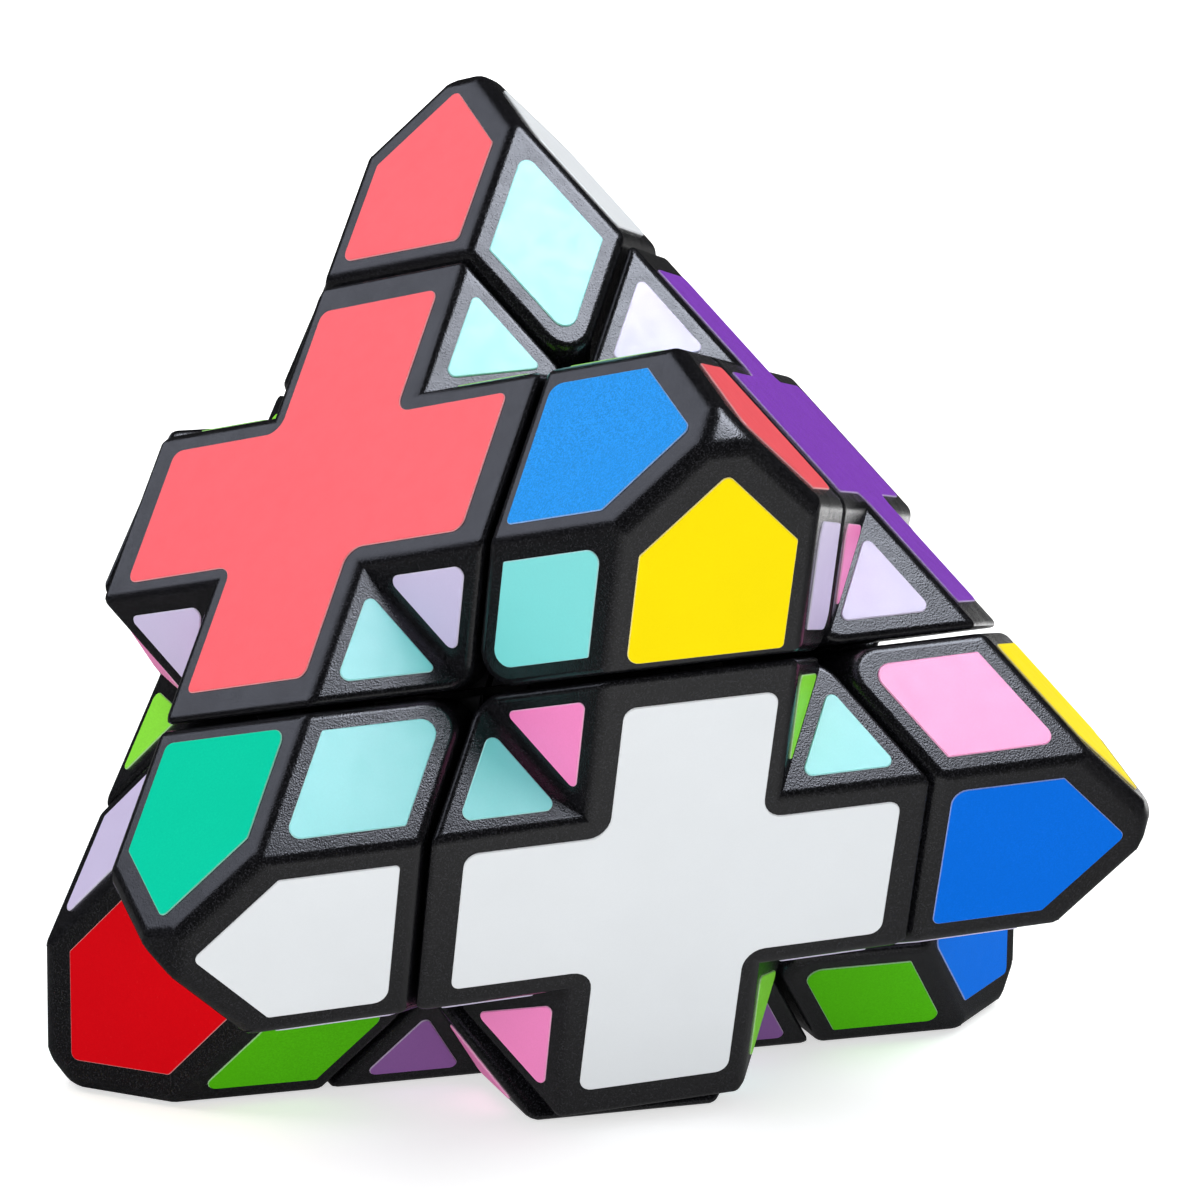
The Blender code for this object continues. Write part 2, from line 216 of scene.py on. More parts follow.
# Black plastic of the caps.
CAP_IOR = 1.5
CAP_COLORS = ((0.0025, 0.0025, 0.0032), (0.016, 0.016, 0.019))
CAP_ROUGHNESS = (0.17, 0.27)
CAP_GRAIN = 0.16 * MM
CAP_HANDLING = 2.2 * MM
CAP_WAVE = 8 * MM
CAP_RELIEF = 0.022 * MM

# Materials of the mechanism. Two colours are the plain and the worn one.
FOOT_COLORS = ((0.012, 0.012, 0.014), (0.035, 0.035, 0.038))
FOOT_ROUGHNESS = (0.34, 0.50)
FOOT_WEAR = 2.5 * MM
FOOT_GRAIN = 0.25 * MM
FOOT_RELIEF = 0.015 * MM
CORE_COLORS = ((0.10, 0.10, 0.11), (0.17, 0.17, 0.18))
CORE_ROUGHNESS = (0.42, 0.60)
CORE_SCUFFS = 1.2 * MM
CORE_GRAIN = 0.3 * MM
CORE_RELIEF = 0.02 * MM
CORE_TRANSLUCENCE = 0.05
ZINC_COLOR = (0.60, 0.61, 0.63)
ZINC_ROUGHNESS = (0.22, 0.38)
ZINC_STREAKS = 0.5 * MM
WIRE_COLOR = (0.52, 0.53, 0.56)
WIRE_ROUGHNESS = (0.16, 0.32)
WIRE_STREAKS = 0.3 * MM
STEEL_STREAK_TONE = 0.75
STEEL_RELIEF = 0.01 * MM
NOISE_RANGE = (0.3, 0.7)          # where most values of a noise lie

# Light, as radiance where white is 1. Reflections see a darker room than matt surfaces do.
AMBIENT = 0.22
MIRRORED_AMBIENT = 0.02
FLOOR_SIZE = 6.0                  # from the middle of the table to each edge
FLOOR_SEEN = 0.75                 # grey of the table to the camera
FLOOR_BOUNCE = 0.55               # what the table gives back to matt surfaces, and its own glow
FLOOR_BOUNCE_GLOW = 0.54
MIRRORED_GREY = 0.10              # grey of the table in reflections
# Glows of the table that change with the distance from a place: the place, the distance where
# the change ends, the strength at the place and the strength beyond.
FLOOR_GLOW = ((0.0, 0.0, 0.0), 1.20, 0.62, 1.0)
MIRRORED_FRONT = ((0.01, -0.09, 0.0), 0.11, 0.62, 0.0)
MIRRORED_BEHIND = ((0.16, 0.15, 0.0), 0.15, 1.5, 0.0)
# Softboxes: azimuth (0 is behind the puzzle and 180 in front) and elevation in degrees, distance,
# width and height in metres, and radiance.
SOFTBOXES = {
    "key_above_front": (123, 60, 0.75, 0.50, 0.28, 12.0),
    "left_window": (-54, 44, 1.0, 0.80, 0.72, 1.45),
    "back_left": (-48, 50, 1.0, 0.90, 0.60, 3.6),
    "left_fill": (-125, 3, 1.2, 1.40, 0.90, 2.4),
    "front_fill": (190, -1, 1.2, 0.90, 0.30, 2.5),
    "right_fill": (70, 45, 1.2, 1.20, 1.00, 3.6),
    "right_low": (100, 5, 1.2, 0.90, 0.60, 2.2),
}
# The softboxes that show in reflections, with their colour. The others light matt surfaces only.
MIRRORED_SOFTBOXES = {"key_above_front": (0.91, 0.96, 1.10), "left_window": (0.90, 0.95, 1.14)}
LIGHT_TARGET = Vector((0, 0, 0.045))

# Camera, in metres and millimetres of lens.
CAMERA_PLACE = (-0.1626, -0.4839, 0.1606)
CAMERA_FORWARD = (0.3194, 0.9208, -0.2238)
CAMERA_ROLL = 0.62                # degrees
SENSOR = 36.0
LENS = 166.86
CLIP_START = 0.01
CLIP_END = 50.0


# Places.

def half_matrices():
    """Where the cube frames of the two halves are, by body."""
    stand = Matrix.Rotation(math.radians(STAND_TURN), 4, "Z")
    twist = Matrix.Rotation(math.radians(FRONT_TURN), 4, AXES[0])
    middle = Matrix.Translation(frame["joints"][0]["pos_m"])
    return {"back_half": middle @ stand, "front_half": middle @ stand @ twist}


def is_tip(direction):
    """A tip points along a body diagonal, a centre along an axis."""
    return all(direction)


def body_for(direction):
    """The front half holds what lies on the front screw's side of the middle cut."""
    return "front_half" if AXES[0].dot(Vector(direction)) > 0 else "back_half"


def axis_vector(index, sign):
    """The direction of one axis of the cube, forwards or backwards."""
    vector = Vector((0, 0, 0))
    vector[index] = sign
    return vector


# Flat-sided solids. A plane is a pair (normal, distance): what lies beyond it is cut away.

def solid_inside(planes):
    """What a cube has left inside all the planes."""
    bm = bmesh.new()
    bmesh.ops.create_cube(bm, size=BLANK_SIZE)
    for normal, distance in planes:
        normal = Vector(normal).normalized()
        cut = bmesh.ops.bisect_plane(
            bm,
            geom=bm.verts[:] + bm.edges[:] + bm.faces[:],
            dist=CUT_DISTANCE,
            plane_co=normal * distance,
            plane_no=normal,
            clear_outer=True,
        )
        rim = [e for e in cut["geom_cut"] if isinstance(e, bmesh.types.BMEdge)]
        if rim:
            bmesh.ops.contextual_create(bm, geom=rim)
    bmesh.ops.recalc_face_normals(bm, faces=bm.faces)
    return bm


def wedge(direction, gap):
    """The planes of a piece's wedge between the cuts, drawn in by a gap."""
    planes = []
    for axis in AXES:
        side = 1 if axis.dot(Vector(direction)) > 0 else -1
        planes.append((-side * axis, -gap))
    return planes


def corner_planes(direction, gap):
    """Planes that round a piece along its radial edges, where four pieces meet."""
    walls = [Vector(normal) for normal, _ in wedge(direction, gap)]
    rays = [Vector(v).normalized() for v in product((1, 0, -1), repeat=3) if v.count(0) == 1]
    planes = []
    for ray in rays:
        if any(wall.dot(ray) > ZERO for wall in walls):
            continue
        first, second = [wall for wall in walls if abs(wall.dot(ray)) < ZERO]
        middle = -(gap + CORNER_ROUND) / (1 + first.dot(second)) * (first + second)
        for step in range(1, CORNER_PLANES):
            normal = first.lerp(second, step / CORNER_PLANES).normalized()
            planes.append((normal, normal.dot(middle) + CORNER_ROUND))
    return planes


def cube_planes(direction, distance):
    """The planes of the flat faces that a piece has a share in."""
    return [(axis_vector(i, part), distance) for i, part in enumerate(direction) if part]


def star_normals(direction):
    """Directions of the slanted faces next to a piece."""
    signs = list(product((1, -1), repeat=3))
    if is_tip(direction):
        signs = [s for s in signs if sum(a == b for a, b in zip(s, direction)) == 2]
    else:
        signs = [s for s in signs if Vector(s).dot(Vector(direction)) > 0]
    return [Vector(s).normalized() for s in signs]


def star_planes(direction, distance):
    """The planes of the slanted faces next to a piece."""
    return [(n, distance) for n in star_normals(direction)]


def evaluated_bmesh(bm, name, add_modifier):
    """The bmesh after one modifier. The bmesh is used up."""
    mesh = bpy.data.meshes.new(name)
    bm.to_mesh(mesh)
    bm.free()
    item = bpy.data.objects.new(name, mesh)
    bpy.context.collection.objects.link(item)
    add_modifier(item)
    evaluated = item.evaluated_get(bpy.context.evaluated_depsgraph_get())
    result = bmesh.new()
    result.from_mesh(evaluated.to_mesh())
    evaluated.to_mesh_clear()
    bpy.data.objects.remove(item, do_unlink=True)
    bpy.data.meshes.remove(mesh)
    return result


def subtract(first, second):
    """First without second, by an exact boolean. Both are used up."""
    tool_mesh = bpy.data.meshes.new("tool")
    second.to_mesh(tool_mesh)
    second.free()
    tool = bpy.data.objects.new("tool", tool_mesh)
    bpy.context.collection.objects.link(tool)

    def add_boolean(item):
        modifier = item.modifiers.new("subtract", "BOOLEAN")
        modifier.operation = "DIFFERENCE"
        modifier.solver = "EXACT"
        modifier.object = tool

    result = evaluated_bmesh(first, "blank", add_boolean)
    bpy.data.objects.remove(tool, do_unlink=True)
    bpy.data.meshes.remove(tool_mesh)
    bmesh.ops.remove_doubles(result, verts=result.verts, dist=WELD_DISTANCE)
    return result


# Rounding of the caps' edges, after the corner planes.

def facet_kind(face, direction):
    """What a face of a cap is: flat, slanted, point or wall."""
    normal = face.normal
    if max(abs(part) for part in normal) > SAME_DIRECTION:
        return "flat"
    piece = Vector(direction).normalized()
    if normal.dot(piece) > SAME_DIRECTION:
        return "point"
    on_star = face.calc_center_median().dot(normal) > STAR_PLANE - MM
    if on_star and any(normal.dot(n) > SAME_DIRECTION for n in star_normals(direction)):
        return "slanted"
    return "wall"


def edge_width(edge, direction):
    """How wide the round on an edge of a cap is."""
    if not edge.is_manifold or not edge.is_convex:
        return 0.0
    if edge.calc_face_angle(0) < math.radians(LEAST_ROUNDED_ANGLE):
        return 0.0
    kinds = sorted(facet_kind(f, direction) for f in edge.link_faces)
    if kinds == ["wall", "wall"]:
        return 0.0
    if "wall" in kinds:
        return GROOVE_ROUND["tip" if is_tip(direction) else "center"]
    if "point" in kinds:
        return POINT_ROUND
    if kinds == ["flat", "flat"]:
        return RIDGE_ROUND
    return ROOF_ROUND


def round_edges(bm, direction):
    """Rounds the edges of a cap, each to its own width."""
    layers = bm.edges.layers.float
    weight = layers.get("bevel_weight_edge") or layers.new("bevel_weight_edge")
    bm.normal_update()
    for edge in bm.edges:
        edge[weight] = edge_width(edge, direction) / LARGEST_ROUND

    def add_bevel(item):
        modifier = item.modifiers.new("round", "BEVEL")
        modifier.limit_method = "WEIGHT"
        modifier.offset_type = "OFFSET"
        modifier.width = LARGEST_ROUND
        modifier.segments = ROUND_STEPS
        modifier.use_clamp_overlap = False
        modifier.miter_outer = "MITER_SHARP"

    return evaluated_bmesh(bm, "rounding", add_bevel)


# Pieces.

def tip_cap(direction):
    """Outer shell of a spike, open towards the core."""
    axis = Vector(direction)
    point = HALF * math.sqrt(3)
    outer = solid_inside(
        wedge(direction, TIP_GAP)
        + corner_planes(direction, TIP_GAP)
        + cube_planes(direction, HALF - FILM)
        + star_planes(direction, STAR_PLANE - FILM)
        + [(axis, point - POINT_CUT), (-axis, -TIP_SEAT)]
    )
    outer = round_edges(outer, direction)
    hollow = solid_inside(
        wedge(direction, TIP_GAP + WALL)
        + cube_planes(direction, HALF - WALL)
        + star_planes(direction, STAR_PLANE - WALL)
        + [(axis, point - HOLLOW_POINT_CUT), (-axis, WALL - TIP_SEAT)]
    )
    return subtract(outer, hollow)


def center_cap(direction):
    """Outer shell of a cross centre, with four valley notches."""
    axis = Vector(direction)
    outer = solid_inside(
        wedge(direction, CENTER_GAP)
        + corner_planes(direction, CENTER_GAP)
        + [(axis, HALF - FILM), (-axis, -CENTER_SEAT)]
    )
    for notch in notch_directions(direction):
        pair = [n for n in star_normals(direction) if n.dot(notch) > 0]
        outer = subtract(outer, solid_inside([(-n, FILM - STAR_PLANE) for n in pair]))
    bmesh.ops.dissolve_limit(outer, angle_limit=FLAT_ANGLE, verts=outer.verts, edges=outer.edges)
    outer = round_edges(outer, direction)
    hollow = solid_inside(
        wedge(direction, CENTER_GAP + WALL)
        + star_planes(direction, STAR_PLANE - WALL)
        + [(axis, HALF - WALL), (-axis, WALL - CENTER_SEAT)]
    )
    return subtract(outer, hollow)


def notch_directions(direction):
    """The four directions across a flat face in which its notches lie."""
    own = max(range(3), key=lambda i: abs(direction[i]))
    return [axis_vector(i, sign) for i in range(3) if i != own for sign in (1, -1)]


def add_piece(name, bm, body, material):
    """A mesh object that rides on a body. The bmesh is in the frame of that half."""
    bmesh.ops.transform(bm, matrix=HALVES[body], verts=bm.verts)
    bmesh.ops.recalc_face_normals(bm, faces=bm.faces)
    mesh = bpy.data.meshes.new(name)
    bm.to_mesh(mesh)
    bm.free()
    mesh.shade_smooth()
    mesh.set_sharp_from_angle(angle=math.radians(SHARP_ANGLE))
    mesh.materials.append(material)
    item = bpy.data.objects.new(name, mesh)
    bpy.context.collection.objects.link(item)
    flatten = item.modifiers.new("flat facets", "WEIGHTED_NORMAL")
    flatten.keep_sharp = True
    flatten.weight = LARGE_FACE_WEIGHT
    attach(item, body)
    return item


# Sticker outlines: corners in the facet's own plane, with a margin for each edge and a radius for
# each corner. Edge i runs from corner i to the next.

def line_crossing(p, along_p, q, along_q):
    """Where two lines in a plane meet."""
    across = along_p.x * along_q.y - along_p.y * along_q.x
    step = ((q.x - p.x) * along_q.y - (q.y - p.y) * along_q.x) / across
    return p + along_p * step


def drawn_in(corners, margins):
    """The outline with each edge moved inwards by its margin. Corners run anticlockwise."""
    count = len(corners)
    lines = []
    for i in range(count):
        along = (corners[(i + 1) % count] - corners[i]).normalized()
        inward = Vector((-along.y, along.x))
        lines.append((corners[i] + inward * margins[i], along))
    return [line_crossing(*lines[i - 1], *lines[i]) for i in range(count)]


def rounded(corners, radii):
    """Points of the outline with its corners rounded, outward and inward ones alike."""
    points = []
    count = len(corners)
    for i, corner in enumerate(corners):
        back = (corners[i - 1] - corner).normalized()
        ahead = (corners[(i + 1) % count] - corner).normalized()
        half_angle = back.angle(ahead) / 2
        reach = radii[i] / math.tan(half_angle)
        middle = corner + (back + ahead).normalized() * radii[i] / math.sin(half_angle)
        start = corner + back * reach - middle
        turn = math.pi - 2 * half_angle
        if back.x * ahead.y - back.y * ahead.x > 0:
            turn = -turn
        for step in range(CORNER_STEPS + 1):
            points.append(middle + Matrix.Rotation(turn * step / CORNER_STEPS, 2) @ start)
    return points


def facet_plane(normal, up):
    """Axes in a facet: across, up and out."""
    out = Vector(normal).normalized()
    up = (Vector(up) - out * out.dot(Vector(up))).normalized()
    return up.cross(out), up, out


def anticlockwise(corners, margins, radii):
    """The same outline, turned round where it runs clockwise."""
    pairs = [(corners[i - 1], corners[i]) for i in range(len(corners))]
    if sum(a.x * b.y - b.x * a.y for a, b in pairs) > 0:
        return corners, margins, radii
    margins = margins[::-1]
    return corners[::-1], margins[1:] + margins[:1], radii[::-1]


def hand_placing(name, middle):
    """How far off its place a sticker was put, as a function that moves a point."""
    chance = random.Random(name)
    shift = Vector((chance.uniform(-1, 1), chance.uniform(-1, 1))) * PLACING_SHIFT
    shift += Vector(PLACED.get(name, (0, 0)))
    turn = Matrix.Rotation(math.radians(chance.uniform(-1, 1) * PLACING_TURN), 2)
    return lambda point: middle + shift + turn @ (point - middle)


def sticker(name, normal, up, corners, margins, radii, body, color):
    """A film on a facet. The corners are points of the half's frame on the facet's plane."""
    across, up, out = facet_plane(normal, up)
    flat = [Vector((across.dot(c), up.dot(c))) for c in corners]
    flat, margins, radii = anticlockwise(flat, margins, radii)
    outline = drawn_in(flat, margins)
    placed = hand_placing(name, sum(outline, Vector((0, 0))) / len(outline))
    edge_loop = rounded(outline, radii)
    top_outline = drawn_in(outline, [STICKER_RIM] * len(outline))
    top_radii = [corner_after_rim(outline, i, radii[i]) for i in range(len(outline))]
    top_loop = rounded(top_outline, top_radii)
    level = out.dot(Vector(corners[0]))
    bm = bmesh.new()
    # Marks the cut edge and the rim for whitening: partly the pale film, partly a painted highlight.
    cut_edge_and_highlight = bm.verts.layers.float.new("cut_edge_and_highlight")
    loops = []
    for loop, height in ((edge_loop, -FILM - STICKER_SUNK), (edge_loop, -STICKER_RIM), (top_loop, 0.0)):
        points = [placed(point) for point in loop]
        loops.append([bm.verts.new(across * p.x + up * p.y + out * (level + height)) for p in points])
        for vert in loops[-1]:
            vert[cut_edge_and_highlight] = float(loop is edge_loop)
    for low, high in zip(loops, loops[1:]):
        for i in range(len(low)):
            bm.faces.new((low[i - 1], low[i], high[i], high[i - 1]))
    bm.faces.new(loops[0][::-1])
    bm.faces.new(loops[-1])
    return add_piece(name, bm, body, MATERIALS[color])


def corner_after_rim(outline, index, radius):
    """The radius of a corner's arc on the top of the film, inside the rim."""
    back = outline[index - 1] - outline[index]
    ahead = outline[(index + 1) % len(outline)] - outline[index]
    inward_corner = back.x * ahead.y - back.y * ahead.x > 0
    if inward_corner:
        return radius + STICKER_RIM
    return max(radius - STICKER_RIM, LEAST_RADIUS)


# The outline of each kind of facet.

def facet_points():
    """Lengths along the cube's axes that the corners of the facets are made of."""
    star = STAR_PLANE * math.sqrt(3)
    return {
        "edge": HALF,
        "tip": 2 * HALF - star,
        "half": star / 2,
        "rest": HALF - star / 2,
        "arm": star - HALF,
    }


def house_sticker(name, direction, index, body, color):
    """The house-shaped sticker of a tip, on its x, y or z face."""
    d = facet_points()
    signs = Vector(direction)
    i, j = [k for k in range(3) if k != index]

    def corner(first, second):
        point = Vector((0, 0, 0))
        point[index] = HALF * signs[index]
        point[i] = first * signs[i]
        point[j] = second * signs[j]
        return point

    corners = [
        corner(d["edge"], d["edge"]),
        corner(d["tip"], d["edge"]),
        corner(d["rest"], d["half"]),
        corner(d["half"], d["rest"]),
        corner(d["edge"], d["tip"]),
    ]
    chance = random.Random(name + " corners")
    base_radii = [chance.uniform(*HOUSE_WIDE_RADIUS), chance.uniform(*HOUSE_TIGHT_RADIUS)]
    chance.shuffle(base_radii)
    shoulder_radii = [chance.uniform(*HOUSE_SHOULDER_RADIUS) for _ in range(2)]
    radii = [HOUSE_POINT_RADIUS, shoulder_radii[0], *base_radii, shoulder_radii[1]]
    margins = [MARGINS[k] for k in ("house_roof", "house_wall", "house_base", "house_wall", "house_roof")]
    up = corners[0] - (corners[2] + corners[3]) / 2
    return sticker(name, axis_vector(index, signs[index]), up, corners, margins, radii, body, color)


def diamond_sticker(name, direction, index, body, color):
    """The diamond-shaped sticker of a tip, on the slanted face whose sign differs at index."""
    d = facet_points()
    signs = Vector(direction)
    i, j = [k for k in range(3) if k != index]

    def corner(first, second, third):
        point = Vector((0, 0, 0))
        point[i] = first * signs[i]
        point[j] = second * signs[j]
        point[index] = third * signs[index]
        return point

    corners = [
        corner(d["edge"], d["edge"], d["tip"]),
        corner(d["half"], d["edge"], d["rest"]),
        corner(d["half"], d["half"], 0),
        corner(d["edge"], d["half"], d["rest"]),
    ]
    normal = signs.copy()
    normal[index] = -normal[index]
    margins = [MARGINS[k] for k in ("diamond_roof", "diamond_cut", "diamond_cut", "diamond_roof")]
    return sticker(name, normal, corners[0] - corners[2], corners, margins, DIAMOND_RADII, body, color)


def cross_sticker(name, direction, body, color):
    """The cross-shaped sticker of a centre. It stands for the CAD's cross."""
    d = facet_points()
    out = Vector(direction)
    first, second = notch_directions(direction)[0], notch_directions(direction)[2]
    arm_half = d["arm"] / math.sqrt(2)
    reach = HALF / math.sqrt(2)
    x = (first + second).normalized()
    y = out.cross(x)
    chance = random.Random(name + " inner corners")
    corners, radii, margins = [], [], []
    inner_radius = chance.uniform(*CROSS_INNER_RADIUS)
    for _ in range(4):
        for along, aside in ((reach, -arm_half), (reach, arm_half), (arm_half, arm_half)):
            corners.append(out * HALF + x * along + y * aside)
        radii += [chance.uniform(*CROSS_END_RADIUS), chance.uniform(*CROSS_END_RADIUS), inner_radius]
        margins += [MARGINS["cross_end"], MARGINS["cross_side"], MARGINS["cross_side"]]
        x, y = y, -x
    item = sticker(name, direction, first, corners, margins, radii, body, color)
    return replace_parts(item, f"cross_sticker_{color}")


def triangle_sticker(name, direction, notch, normal, body, color):
    """A triangle on one side of a notch of a centre."""
    d = facet_points()
    out = Vector(direction)
    side = Vector(normal) - out - notch
    corners = [
        out * d["edge"] + notch * d["arm"],
        out * d["half"] + notch * d["half"],
        out * d["edge"] + notch * d["half"] - side * d["rest"],
    ]
    chance = random.Random(name + " corners")
    radii = [chance.uniform(*TRIANGLE_RADIUS) for _ in corners]
    margins = [MARGINS[k] for k in ("triangle_crease", "triangle_cut", "triangle_arm")]
    return sticker(name, normal, corners[0] - corners[1], corners, margins, radii, body, color)


def build_tips():
    """The shell and the six stickers of every tip."""
    for name, direction in TIPS.items():
        body = body_for(direction)
        cap = add_piece(name + "_shell", tip_cap(direction), body, MATERIALS["cap"])
        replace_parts(cap, name + "_cap")
        houses, diamonds = TIP_COLORS[name]
        for index, axis in enumerate("xyz"):
            house_sticker(f"{name}_house_{axis}", direction, index, body, houses[index])
            diamond_sticker(f"{name}_diamond_{axis}", direction, index, body, diamonds[index])


def build_centers():
    """The shell, the cross and the eight triangles of every centre."""
    for color, direction in CENTERS.items():
        body = body_for(direction)
        name = f"center_{color}"
        cap = add_piece(name + "_shell", center_cap(direction), body, MATERIALS["cap"])
        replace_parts(cap, name + "_cap")
        cross_sticker(name + "_cross", direction, body, color)
        sides = product(notch_directions(direction), CENTER_COLORS[color].items())
        sides = [side for side in sides if Vector(side[1][0]).dot(side[0]) > 0]
        for count, (notch, (normal, triangle_color)) in enumerate(sides, start=1):
            triangle_sticker(f"{name}_triangle_{count}", direction, notch, normal, body, triangle_color)


# Materials.

class Tree:
    """Short calls for building a node tree."""

    def __init__(self, name):
        self.material = bpy.data.materials.new(name)
        self.material.use_nodes = True
        self.nodes = self.material.node_tree.nodes
        self.links = self.material.node_tree.links
        self.shader = self.nodes["Principled BSDF"]
        self.place = self.nodes.new("ShaderNodeTexCoord").outputs["Object"]

    def add(self, kind, **settings):
        node = self.nodes.new(kind)
        for key, value in settings.items():
            setattr(node, key, value)
        return node

    def noise(self, size, detail=3.0, roughness=0.55):
        """Noise whose spots are about the given size, in metres."""
        node = self.add("ShaderNodeTexNoise")
        node.inputs["Scale"].default_value = 1.0 / size
        node.inputs["Detail"].default_value = detail
        node.inputs["Roughness"].default_value = roughness
        self.links.new(self.place, node.inputs["Vector"])
        return node.outputs["Fac"]

    def span(self, value, from_range, to_range=(0.0, 1.0)):
        """Maps one range of values onto another."""
        node = self.add("ShaderNodeMapRange")
        node.inputs["From Min"].default_value = from_range[0]
        node.inputs["From Max"].default_value = from_range[1]
        node.inputs["To Min"].default_value = to_range[0]
        node.inputs["To Max"].default_value = to_range[1]
        self.links.new(value, node.inputs["Value"])
        return node.outputs["Result"]

    def blend(self, amount, first, second):
        """Goes from the first colour to the second. Either may be an output of a node."""
        node = self.add("ShaderNodeMix", data_type="RGBA")
        self.links.new(amount, node.inputs["Factor"])
        for key, color in (("A", first), ("B", second)):
            socket = next(s for s in node.inputs if s.name == key and s.type == "RGBA")
            if isinstance(color, tuple):
                socket.default_value = (*color, 1.0)
            else:
                self.links.new(color, socket)
        return next(s for s in node.outputs if s.type == "RGBA")

    def total(self, first, second, second_share):
        """The first value plus a share of the second."""
        node = self.add("ShaderNodeMath", operation="MULTIPLY_ADD")
        self.links.new(second, node.inputs[0])
        node.inputs[1].default_value = second_share
        self.links.new(first, node.inputs[2])
        return node.outputs[0]

    def bump(self, height, distance, strength=1.0):
        node = self.add("ShaderNodeBump")
        node.inputs["Distance"].default_value = distance
        node.inputs["Strength"].default_value = strength
        self.links.new(height, node.inputs["Height"])
        self.links.new(node.outputs["Normal"], self.shader.inputs["Normal"])

    def feed(self, socket, value):
        """Gives a socket of the shader a constant or an output of a node."""
        if hasattr(value, "links"):
            self.links.new(value, self.shader.inputs[socket])
        else:
            self.shader.inputs[socket].default_value = value


def tinted(color, factor, lift=0.0):
    """The colour made lighter or darker by a factor and an addition."""
    return tuple(min(1.0, part * factor + lift) for part in color)


def cap_material():
    """Black moulded ABS: a spark-eroded grain, slight waviness and handling marks."""
    tree = Tree("black_abs")
    grain = tree.noise(CAP_GRAIN, detail=1.0)
    handling = tree.noise(CAP_HANDLING, detail=3.0, roughness=0.5)
    wave = tree.noise(CAP_WAVE, detail=1.0)
    tree.feed("Base Color", tree.blend(tree.span(grain, (0.45, 0.68)), *CAP_COLORS))
    tree.feed("Roughness", tree.span(handling, (0.30, 0.72), CAP_ROUGHNESS))
    tree.feed("IOR", CAP_IOR)
    height = tree.total(tree.total(grain, handling, 0.35), wave, 2.0)
    tree.bump(height, CAP_RELIEF, 0.9)
    return tree.material


def vinyl_material(color_name):
    """Printed vinyl film: print speckle, a slow change of tone, tiny dents and a pale cut edge, whose
    white is partly the film under the print and partly a painted highlight of the rim.
    """
    color, specular, speckle_share = VINYL[color_name]
    tree = Tree(f"vinyl_{color_name}")
    speckle = tree.noise(PRINT_SPECKLE, detail=1.5)
    cloud = tree.noise(PRINT_CLOUD, detail=2.0)
    dents = tree.noise(VINYL_DENTS, detail=3.0)
    dark_dots = tinted(color, 1 - speckle_share)
    light_dots = tinted(color, 1 + speckle_share, LIGHT_DOT_LIFT * speckle_share)
    printed = tree.blend(tree.span(speckle, (0.36, 0.64)), dark_dots, light_dots)
    cloudiness = tree.span(cloud, (0.35, 0.7), (0.0, 0.5))
    toned = tree.blend(cloudiness, printed, tinted(color, CLOUD_TONE))
    # The cut edge and the rim above it are whitened: partly the pale film, partly a painted highlight.
    rim = tree.add("ShaderNodeAttribute", attribute_name="cut_edge_and_highlight").outputs["Fac"]
    edge_and_highlight_whiteness = tree.span(tree.total(rim, speckle, 0.5), (0.35, 1.5), (0.0, CUT_EDGE_AND_HIGHLIGHT_WHITENESS))
    tree.feed("Base Color", tree.blend(edge_and_highlight_whiteness, toned, CUT_EDGE_WHITE_AND_HIGHLIGHT))
    tree.feed("Roughness", tree.span(dents, NOISE_RANGE, VINYL_ROUGHNESS))
    tree.feed("IOR", VINYL_IOR)
    tree.feed("Specular IOR Level", specular)
    tree.bump(tree.total(speckle, dents, 2.0), VINYL_RELIEF, 0.5)
    return tree.material


def foot_material():
    """Dark grey moulded plastic of the inner bases, with rubbed patches."""
    tree = Tree("foot_plastic")
    rubbed = tree.noise(FOOT_WEAR, detail=5.0, roughness=0.6)
    grain = tree.noise(FOOT_GRAIN, detail=2.0)
    tree.feed("Base Color", tree.blend(tree.span(rubbed, (0.45, 0.7)), *FOOT_COLORS))
    tree.feed("Roughness", tree.span(rubbed, NOISE_RANGE, FOOT_ROUGHNESS))
    tree.bump(grain, FOOT_RELIEF, 0.6)
    return tree.material


def core_material():
    """Grey nylon of the core ball, with scuffs from the feet."""
    tree = Tree("core_nylon")
    scuffs = tree.noise(CORE_SCUFFS, detail=6.0, roughness=0.7)
    grain = tree.noise(CORE_GRAIN, detail=2.0)
    tree.feed("Base Color", tree.blend(tree.span(scuffs, (0.4, 0.7)), *CORE_COLORS))
    tree.feed("Roughness", tree.span(scuffs, NOISE_RANGE, CORE_ROUGHNESS))
    tree.feed("Subsurface Weight", CORE_TRANSLUCENCE)
    tree.bump(grain, CORE_RELIEF, 0.6)
    return tree.material


def steel_material(name, color, streak_size, roughness):
    """Zinc-plated or drawn steel, with fine streaks."""
    tree = Tree(name)
    streaks = tree.noise(streak_size, detail=5.0, roughness=0.7)
    tone = tree.span(streaks, (0.35, 0.7))
    tree.feed("Base Color", tree.blend(tone, color, tinted(color, STEEL_STREAK_TONE)))
    tree.feed("Metallic", 1.0)
    tree.feed("Roughness", tree.span(streaks, NOISE_RANGE, roughness))
    tree.bump(streaks, STEEL_RELIEF, 0.5)
    return tree.material


def make_materials():
    """Every material, by the name of the film or the kind of piece."""
    made = {name: vinyl_material(name) for name in VINYL}
    made["cap"] = cap_material()
    made["base"] = foot_material()
    made["core"] = core_material()
    made["screw"] = steel_material("zinc_steel", ZINC_COLOR, ZINC_STREAKS, ZINC_ROUGHNESS)
    made["washer"] = made["screw"]
    made["spring"] = steel_material("spring_wire", WIRE_COLOR, WIRE_STREAKS, WIRE_ROUGHNESS)
    return made


